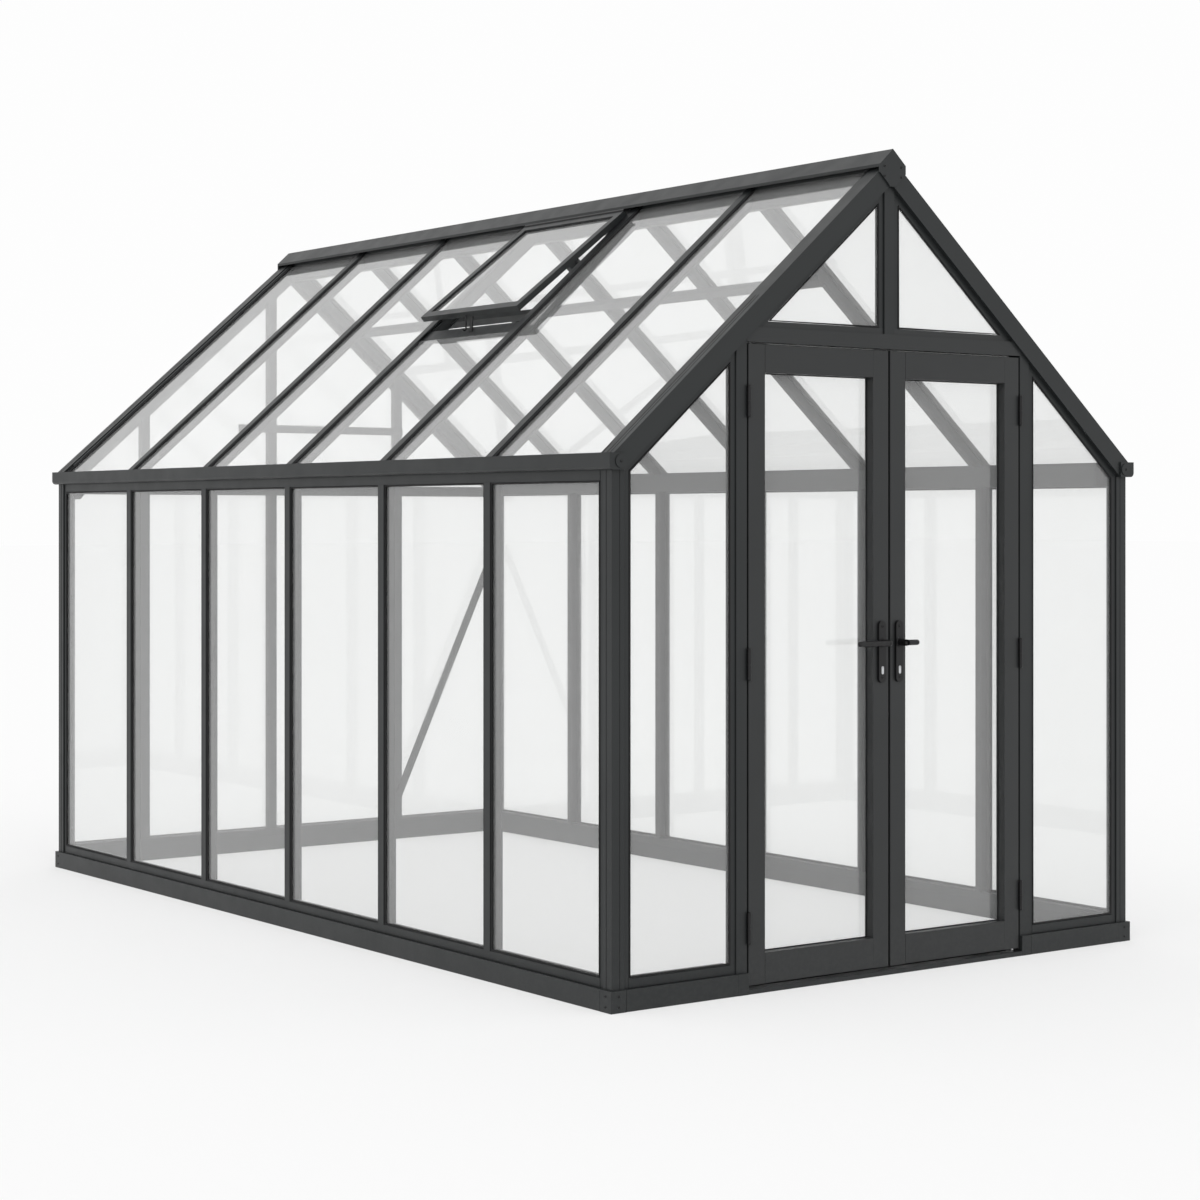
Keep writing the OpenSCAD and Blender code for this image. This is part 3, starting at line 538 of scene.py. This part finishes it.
def screw_tree():
    """Sets a head on each point of a mesh, standing along the point's facing attribute."""
    tree = bpy.data.node_groups.new("heads_on_points", "GeometryNodeTree")
    face = tree.interface
    face.new_socket("Geometry", in_out="INPUT", socket_type="NodeSocketGeometry")
    face.new_socket("Head", in_out="INPUT", socket_type="NodeSocketObject")
    face.new_socket("Size", in_out="INPUT", socket_type="NodeSocketFloat")
    face.new_socket("Turn", in_out="INPUT", socket_type="NodeSocketFloat")
    face.new_socket("Seed", in_out="INPUT", socket_type="NodeSocketInt")
    face.new_socket("Material", in_out="INPUT", socket_type="NodeSocketMaterial")
    face.new_socket("Geometry", in_out="OUTPUT", socket_type="NodeSocketGeometry")
    add = tree.nodes.new
    given, out = add("NodeGroupInput"), add("NodeGroupOutput")
    facing, stand = add("GeometryNodeInputNamedAttribute"), add("FunctionNodeAlignRotationToVector")
    facing.data_type = "FLOAT_VECTOR"
    facing.inputs["Name"].default_value = "facing"
    stand.axis = "Z"
    # Each head stops at its own angle, as screws do
    chance, spin = add("FunctionNodeRandomValue"), add("FunctionNodeAxisAngleToRotation")
    turned = add("FunctionNodeRotateRotation")
    turned.rotation_space = "LOCAL"
    shape = add("GeometryNodeObjectInfo")
    place, real = add("GeometryNodeInstanceOnPoints"), add("GeometryNodeRealizeInstances")
    finish = add("GeometryNodeSetMaterial")
    link(tree, facing.outputs["Attribute"], stand.inputs["Vector"])
    link(tree, given.outputs["Turn"], chance.inputs[3])
    link(tree, given.outputs["Seed"], chance.inputs["Seed"])
    link(tree, chance.outputs[1], spin.inputs["Angle"])
    link(tree, stand.outputs["Rotation"], turned.inputs["Rotation"])
    link(tree, spin.outputs["Rotation"], turned.inputs["Rotate By"])
    link(tree, given.outputs["Head"], shape.inputs["Object"])
    link(tree, given.outputs["Geometry"], place.inputs["Points"])
    link(tree, shape.outputs["Geometry"], place.inputs["Instance"])
    link(tree, turned.outputs["Rotation"], place.inputs["Rotation"])
    link(tree, given.outputs["Size"], place.inputs["Scale"])
    link(tree, place.outputs["Instances"], real.inputs["Geometry"])
    link(tree, real.outputs["Geometry"], finish.inputs["Geometry"])
    link(tree, given.outputs["Material"], finish.inputs["Material"])
    link(tree, finish.outputs["Geometry"], out.inputs["Geometry"])
    return tree


heads = screw_tree()


def screws(name, body, places, size=SCREW_HEAD, seed=3, shape=screw_head):
    """Screw heads, or others of their kind, at (point, facing) pairs, riding on a body."""
    mesh = bpy.data.meshes.new(name)
    mesh.from_pydata([place for place, facing in places], [], [])
    facing = mesh.attributes.new("facing", "FLOAT_VECTOR", "POINT")
    for entry, (place, direction) in zip(facing.data, places):
        entry.vector = direction
    head = add_object("head_source", shape())
    piece = grown(name, mesh, heads,
                  {"Head": head, "Size": size, "Turn": 2 * math.pi, "Seed": seed,
                   "Material": black_steel})
    bpy.data.objects.remove(head)
    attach(piece, body)
    return piece


def mirrored(places):
    """The same places on both sides of the house."""
    other = [(Vector((-p[0], p[1], p[2])), Vector((-f[0], f[1], f[2]))) for p, f in places]
    return [(Vector(p), Vector(f)) for p, f in places] + other


# Plinth corner pieces: two screws on each outer face
plinth_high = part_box("plinth_corners")[1]
PLINTH_SCREW = 0.0038
PIECE_MIDDLE = 0.027
SCREW_RISE = 0.016
plinth_screws = []
for end in (-1, 1):
    for rise in (SCREW_RISE, plinth_high.z - SCREW_RISE):
        reach_y = plinth_high.y - PIECE_MIDDLE
        reach_x = plinth_high.x - PIECE_MIDDLE
        plinth_screws.append(((plinth_high.x, end * reach_y, rise), (1, 0, 0)))
        plinth_screws.append(((reach_x, end * plinth_high.y, rise), (0, end, 0)))
screws("plinth_screws", "frame", mirrored(plinth_screws), size=PLINTH_SCREW)

# Ridge end plates: two screws on each side, and one in the middle of each gutter's boss
plate_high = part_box("ridge_end_caps")[1]
boss_low, boss_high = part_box("gutter_end_caps")
END_SCREW = 0.0042
PLATE_SPREAD = 0.034
PLATE_DROPS = (0.054, 0.084)
BOSS_FROM_EDGE = 0.039
end_screws = []
for end in (-1, 1):
    for drop in PLATE_DROPS:
        place = (PLATE_SPREAD, end * plate_high.y, plate_high.z - drop)
        end_screws.append((place, (0, end, 0)))
    boss_z = (boss_low.z + boss_high.z) / 2
    end_screws.append(((boss_high.x - BOSS_FROM_EDGE, end * boss_high.y, boss_z), (0, end, 0)))
screws("end_screws", "frame", mirrored(end_screws), size=END_SCREW, seed=5)

# The brace: a screw through each end
brace_low, brace_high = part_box("back_brace")
BRACE_SCREW = 0.005
BRACE_END = 0.018
brace_screws = []
for x, z in ((brace_low.x + BRACE_END, brace_low.z + 2 * BRACE_END),
             (brace_high.x - BRACE_END, brace_high.z - 2 * BRACE_END)):
    brace_screws.append(((x, brace_low.y, z), (0, -1, 0)))
screws("brace_screws", "frame", [(Vector(p), Vector(f)) for p, f in brace_screws],
       size=BRACE_SCREW, seed=7)


# ---- Eave gussets ----
# Flat aluminium plates in the back corners, coated like the frame. Each ties the tie beam to
# its corner post and is held by two screws.

GUSSET_REACH = 0.078
GUSSET_SLANT = 0.030
GUSSET_DROP = 0.020
GUSSET_THICK = 0.003
GUSSET_BEVEL = 0.0005
GUSSET_SCREW = 0.004


def plates(name, outline, y_front, y_back):
    """A flat plate of x and z points and its mirror image across the house."""
    shape = bmesh.new()
    for side in (-1, 1):
        rows = [[shape.verts.new((side * x, y, z)) for x, z in outline] for y in (y_front, y_back)]
        count = len(outline)
        for i in range(count):
            j = (i + 1) % count
            shape.faces.new((rows[0][i], rows[0][j], rows[1][j], rows[1][i]))
        shape.faces.new(rows[0][::-1])
        shape.faces.new(rows[1])
    bmesh.ops.recalc_face_normals(shape, faces=shape.faces)
    mesh = bpy.data.meshes.new(name)
    shape.to_mesh(mesh)
    shape.free()
    mesh.materials.append(anthracite)
    piece = add_object(name, mesh)
    edge = piece.modifiers.new("edge", "BEVEL")
    edge.width = GUSSET_BEVEL
    edge.segments = 2
    return piece


beam_low, beam_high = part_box("back_rails")
tie_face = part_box("back_posts")[0].y
tie_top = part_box("corner_posts")[1].z
corner_x = beam_high.x
gusset_outline = [(corner_x, tie_top), (corner_x - GUSSET_REACH, tie_top),
                  (corner_x - GUSSET_REACH + GUSSET_SLANT, beam_low.z),
                  (corner_x - GUSSET_SLANT, beam_low.z - GUSSET_DROP),
                  (corner_x, beam_low.z - GUSSET_DROP)]
gussets = plates("eave_gussets", gusset_outline, tie_face - GUSSET_THICK, tie_face)
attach(gussets, "frame")
gusset_screws = [((corner_x - spread, tie_face - GUSSET_THICK, (tie_top + beam_low.z) / 2),
                  (0, -1, 0)) for spread in (GUSSET_SLANT / 2, 2 * GUSSET_SLANT)]
screws("gusset_screws", "frame", mirrored(gusset_screws), size=GUSSET_SCREW, seed=9)


# ---- Post groove shade strips ----
# A thin black strip on each outer face of a corner post, from the plinth to the gutter: painted
# shade, standing in for the shadow in the groove of the post's extrusion.

STRIP_PLACE = 0.027
STRIP_WIRE = 0.0009
post_low, post_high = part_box("corner_posts")
groove_shade_lines = []
for across in (-1, 1):
    for end in (-1, 1):
        near = post_high.x - STRIP_PLACE, post_high.y - STRIP_PLACE
        for x, y in ((near[0], post_high.y), (post_high.x, near[1])):
            groove_shade_lines.append((Vector((across * x, end * y, post_low.z)),
                                Vector((across * x, end * y, post_high.z))))
# Painted shade: black lines where the posts' grooves lie in shadow
strip("post_cover_strips", "frame", groove_shade_lines, radius=STRIP_WIRE)


# ---- Door seals ----
# Black rubber: a bead round each door pane, a bulb round the doorway that the leaves close
# towards, a bulb along one leaf's meeting edge and a sweep under each leaf.

DOOR_BEAD = 0.002
IN_LEAF = 0.0085
RUNNING_GAP = 0.005
STOP_BULB = 0.0035
SEAM_BULB = 0.0015
SWEEP = 0.0025
SUNK = 0.0005


def leaf_inset(middle, direction):
    return IN_LEAF


for side, body in (("left", "door_left"), ("right", "door_right")):
    leaf_lines = []
    for corners in pane_faces(side + "_door_glass", (0, -1, 0)):
        leaf_lines += bead_edges(corners, (0, -1, 0), leaf_inset, every_edge, DOOR_BEAD)
    strip(side + "_door_rubber", body, leaf_lines, radius=DOOR_BEAD)
    leaf_low, leaf_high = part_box(side + "_door_stiles")
    leaf_middle = (leaf_low.y + leaf_high.y) / 2
    sweep_z = leaf_low.z - SWEEP + SUNK
    ends = [Vector((x, leaf_middle, sweep_z)) for x in (leaf_low.x + RUNNING_GAP,
                                                        leaf_high.x - RUNNING_GAP)]
    strip(side + "_door_sweep", body, [tuple(ends)], radius=SWEEP)

opening_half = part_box("threshold")[1].x
header_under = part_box("door_header")[0].z
stop_x = opening_half - STOP_BULB + SUNK
stop_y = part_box("left_door_stiles")[1].y + RUNNING_GAP + STOP_BULB
stop_top = header_under - STOP_BULB + SUNK
stop_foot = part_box("door_posts")[0].z
frame_line = [Vector((-stop_x, stop_y, stop_foot)), Vector((-stop_x, stop_y, stop_top)),
              Vector((stop_x, stop_y, stop_top)), Vector((stop_x, stop_y, stop_foot))]
strip("stop_seal", "frame", list(zip(frame_line, frame_line[1:])), radius=STOP_BULB)

# A low black seal on the threshold, further in than the sweeps, shuts the gap under the leaves;
# it is also painted shade, a dark strip that makes the gap read as shadow.
sill_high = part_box("threshold")[1]
seal_and_gap_shade_y = sill_high.y - 2 * SWEEP
seal_and_gap_shade = [Vector((x, seal_and_gap_shade_y, sill_high.z + SWEEP - SUNK))
             for x in (-opening_half + RUNNING_GAP, opening_half - RUNNING_GAP)]
strip("threshold_seal", "frame", [tuple(seal_and_gap_shade)], radius=SWEEP)

seam_low, seam_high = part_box("right_door_stiles")
seam_x = seam_low.x - SEAM_BULB + SUNK / 2
seam_y = seam_high.y - 4 * SEAM_BULB
strip("seam_seal", "door_right",
      [(Vector((seam_x, seam_y, seam_low.z + RUNNING_GAP)),
        Vector((seam_x, seam_y, seam_high.z - RUNNING_GAP)))], radius=SEAM_BULB)


# ---- Hinges ----
# Black coated steel hinges, three to a leaf, with a domed cap on each end of the knuckle: the
# upper cap belongs to the leaf's half and the lower one to the post's.

BLACK_NODES = ["vent_stay", "post_hinges", "left_door_hinges", "right_door_hinges",
               "left_handle_plate", "right_handle_plate", "left_lever", "right_lever"]
dress(BLACK_NODES, black_steel)

CAP_SIDES = 20
KNUCKLE = 0.006


def lathed(rings, sides, name):
    """A closed round shape of radius and height pairs, turned about Z."""
    shape = bmesh.new()
    rows = []
    for radius, height in rings:
        turns = [2 * math.pi * i / sides for i in range(sides)]
        rows.append([shape.verts.new((radius * math.cos(t), radius * math.sin(t), height))
                     for t in turns])
    for low, high in zip(rows, rows[1:]):
        for i in range(sides):
            j = (i + 1) % sides
            shape.faces.new((low[i], low[j], high[j], high[i]))
    shape.faces.new(rows[-1])
    shape.faces.new(rows[0][::-1])
    bmesh.ops.recalc_face_normals(shape, faces=shape.faces)
    mesh = bpy.data.meshes.new(name)
    shape.to_mesh(mesh)
    shape.free()
    return mesh


def knuckle_cap():
    """A domed cap of radius 1 with a small step at its foot."""
    rings = [(0.86, -0.1), (0.86, 0.08), (1.0, 0.12), (0.97, 0.26), (0.8, 0.42), (0.5, 0.52),
             (0.2, 0.56)]
    return lathed(rings, CAP_SIDES, "knuckle_cap")


HINGE_SPLIT = 0.001
for side, body in (("left", "door_left"), ("right", "door_right")):
    knuckle_low, knuckle_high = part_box(side + "_door_hinges")
    post_low, post_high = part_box("post_hinges")
    outer = -1 if side == "left" else 1
    knuckle_x = outer * (post_high.x - KNUCKLE)
    knuckle_y = post_low.y + KNUCKLE
    hinge_height = 2 * (knuckle_low.z - post_low.z) - HINGE_SPLIT
    middle_z = (post_low.z + knuckle_high.z) / 2
    tops = (post_low.z + hinge_height, middle_z + hinge_height / 2, knuckle_high.z)
    feet = [top - hinge_height for top in tops]
    screws(side + "_hinge_tops", body,
           [(Vector((knuckle_x, knuckle_y, z)), Vector((0, 0, 1))) for z in tops],
           size=KNUCKLE, shape=knuckle_cap)
    screws(side + "_hinge_feet", "frame",
           [(Vector((knuckle_x, knuckle_y, z)), Vector((0, 0, -1))) for z in feet],
           size=KNUCKLE, shape=knuckle_cap)


# ---- Handles ----
# Black lever handles on long plates. A collar rings each lever's boss, two screws hold each
# plate, and a steel key cylinder sits in the plate under the lever; its slot is a thin black
# strip, painted shade for the dark inside of the slot.

PLATE_SCREW = 0.0042
PLATE_END = 0.016
KEYHOLE_DROP = 0.141
COLLAR_IN = 0.0108
COLLAR_OUT = 0.0138
COLLAR_HIGH = 0.003
COLLAR_EDGE = 0.0008
CYLINDER = 0.0046
CYLINDER_PROUD = 0.0012
CYLINDER_EDGE = 0.0004
CYLINDER_TAIL = 0.015
KEY_SLOT = 0.0024
SLOT_SHADE_WIRE = 0.0005
SMOOTH_SIDES = 40
STEEL_COLOUR = (0.55, 0.56, 0.57, 1.0)


def steel_material():
    """Satin steel, a little uneven."""
    material = coated("satin_steel", STEEL_COLOUR, 0.32, 1400.0, 0.0, bump=0.08)
    material.node_tree.nodes["Principled BSDF"].inputs["Metallic"].default_value = 1.0
    return material


satin_steel = steel_material()


def placed(name, mesh, place, facing, material, body):
    """A turned part stood on a place, riding on a body."""
    turn = Vector(facing).to_track_quat("Z", "Y").to_matrix().to_4x4()
    mesh.transform(Matrix.Translation(place) @ turn)
    mesh.materials.append(material)
    piece = add_object(name, mesh)
    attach(piece, body)
    return piece


def collar_mesh():
    """A ring with a chamfered outer edge: its wall is a loop of radius and height pairs."""
    wall = [(COLLAR_IN, 0.0), (COLLAR_OUT, 0.0), (COLLAR_OUT, 0.6 * COLLAR_HIGH),
            (COLLAR_OUT - COLLAR_EDGE, COLLAR_HIGH), (COLLAR_IN, COLLAR_HIGH)]
    shape = bmesh.new()
    rows = []
    for radius, height in wall:
        turns = [2 * math.pi * i / SMOOTH_SIDES for i in range(SMOOTH_SIDES)]
        rows.append([shape.verts.new((radius * math.cos(t), radius * math.sin(t), height))
                     for t in turns])
    for k in range(len(rows)):
        low, high = rows[k], rows[(k + 1) % len(rows)]
        for i in range(SMOOTH_SIDES):
            j = (i + 1) % SMOOTH_SIDES
            shape.faces.new((low[i], low[j], high[j], high[i]))
    bmesh.ops.recalc_face_normals(shape, faces=shape.faces)
    mesh = bpy.data.meshes.new("collar")
    shape.to_mesh(mesh)
    shape.free()
    return mesh


for side, body in (("left", "door_left"), ("right", "door_right")):
    plate_low, plate_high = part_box(side + "_handle_plate")
    lever_low, lever_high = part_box(side + "_lever")
    plate_x = (plate_low.x + plate_high.x) / 2
    face = plate_low.y
    lever_z = (lever_low.z + lever_high.z) / 2
    screws(side + "_plate_screws", body,
           [(Vector((plate_x, face, z)), Vector((0, -1, 0)))
            for z in (plate_low.z + PLATE_END, plate_high.z - PLATE_END)],
           size=PLATE_SCREW, seed=11)
    collar = placed(side + "_collar", collar_mesh(), Vector((plate_x, face, lever_z)),
                    (0, -1, 0), black_steel, body)
    key_z = plate_high.z - KEYHOLE_DROP
    rings = [(CYLINDER, 0.0), (CYLINDER, CYLINDER_PROUD - CYLINDER_EDGE),
             (CYLINDER - CYLINDER_EDGE, CYLINDER_PROUD)]
    profile = lathed(rings, SMOOTH_SIDES, side + "_key_cylinder")
    cylinder = placed(side + "_key_cylinder", profile, Vector((plate_x, face, key_z)),
                      (0, -1, 0), satin_steel, body)
    for vertex in cylinder.data.vertices:
        if vertex.co.z < key_z - CYLINDER / 10:
            vertex.co.z -= CYLINDER_TAIL
    # The key slot: a thin black strip on the cylinder's face, painted shade for the slot's dark
    # inside
    slot = [Vector((plate_x, face - CYLINDER_PROUD, key_z + rise))
            for rise in (-KEY_SLOT, KEY_SLOT)]
    strip(side + "_key_slot", body, [tuple(slot)], radius=SLOT_SHADE_WIRE)


# ---- Vent fittings ----
# A hinge tube joins the vent to the ridge side, a rubber bead holds its pane, and a bent black
# hook beside the stay catches the sill when the vent is shut.

VENT_BEAD = 0.002
IN_VENT = 0.006
HINGE_TUBE = 0.005
HOOK_WIRE = 0.003
HOOK_ASIDE = 0.016
HOOK_BEND = 0.014
HOOK_STEPS = 8


def vent_inset(middle, direction):
    return IN_VENT


vent_faces = [face for face in nodes["vent_glass"].data.polygons if face.normal.z > 0.5]
vent_up = max(vent_faces, key=lambda face: face.area).normal.copy()
vent_lines = []
for corners in pane_faces("vent_glass", vent_up):
    vent_lines += bead_edges(corners, vent_up, vent_inset, every_edge, VENT_BEAD)
strip("vent_rubber", "frame", vent_lines, radius=VENT_BEAD)

vent_low, vent_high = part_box("vent_frame")
upper = max((v.co for v in nodes["vent_frame"].data.vertices), key=lambda point: point.x + point.z)
tube = [Vector((upper.x, y, upper.z)) for y in (vent_low.y, vent_high.y)]
hinge_tube = strip("vent_hinge_tube", "frame", [tuple(tube)], radius=HINGE_TUBE,
                   material=black_steel, sides=CAP_SIDES)

stay_low, stay_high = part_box("vent_stay")
hook_y = stay_high.y + HOOK_ASIDE
hook_x = stay_low.x - HOOK_WIRE
hook = [Vector((hook_x, hook_y, stay_high.z)), Vector((hook_x, hook_y, stay_low.z + HOOK_BEND))]
for i in range(1, HOOK_STEPS + 1):
    turn = math.pi * i / HOOK_STEPS
    hook.append(Vector((hook_x - HOOK_BEND / 2 * (1 - math.cos(turn)), hook_y,
                        stay_low.z + HOOK_BEND - HOOK_BEND / 2 * math.sin(turn))))
hook_piece = strip("vent_hook", "frame", list(zip(hook, hook[1:])), radius=HOOK_WIRE,
                   material=black_steel)
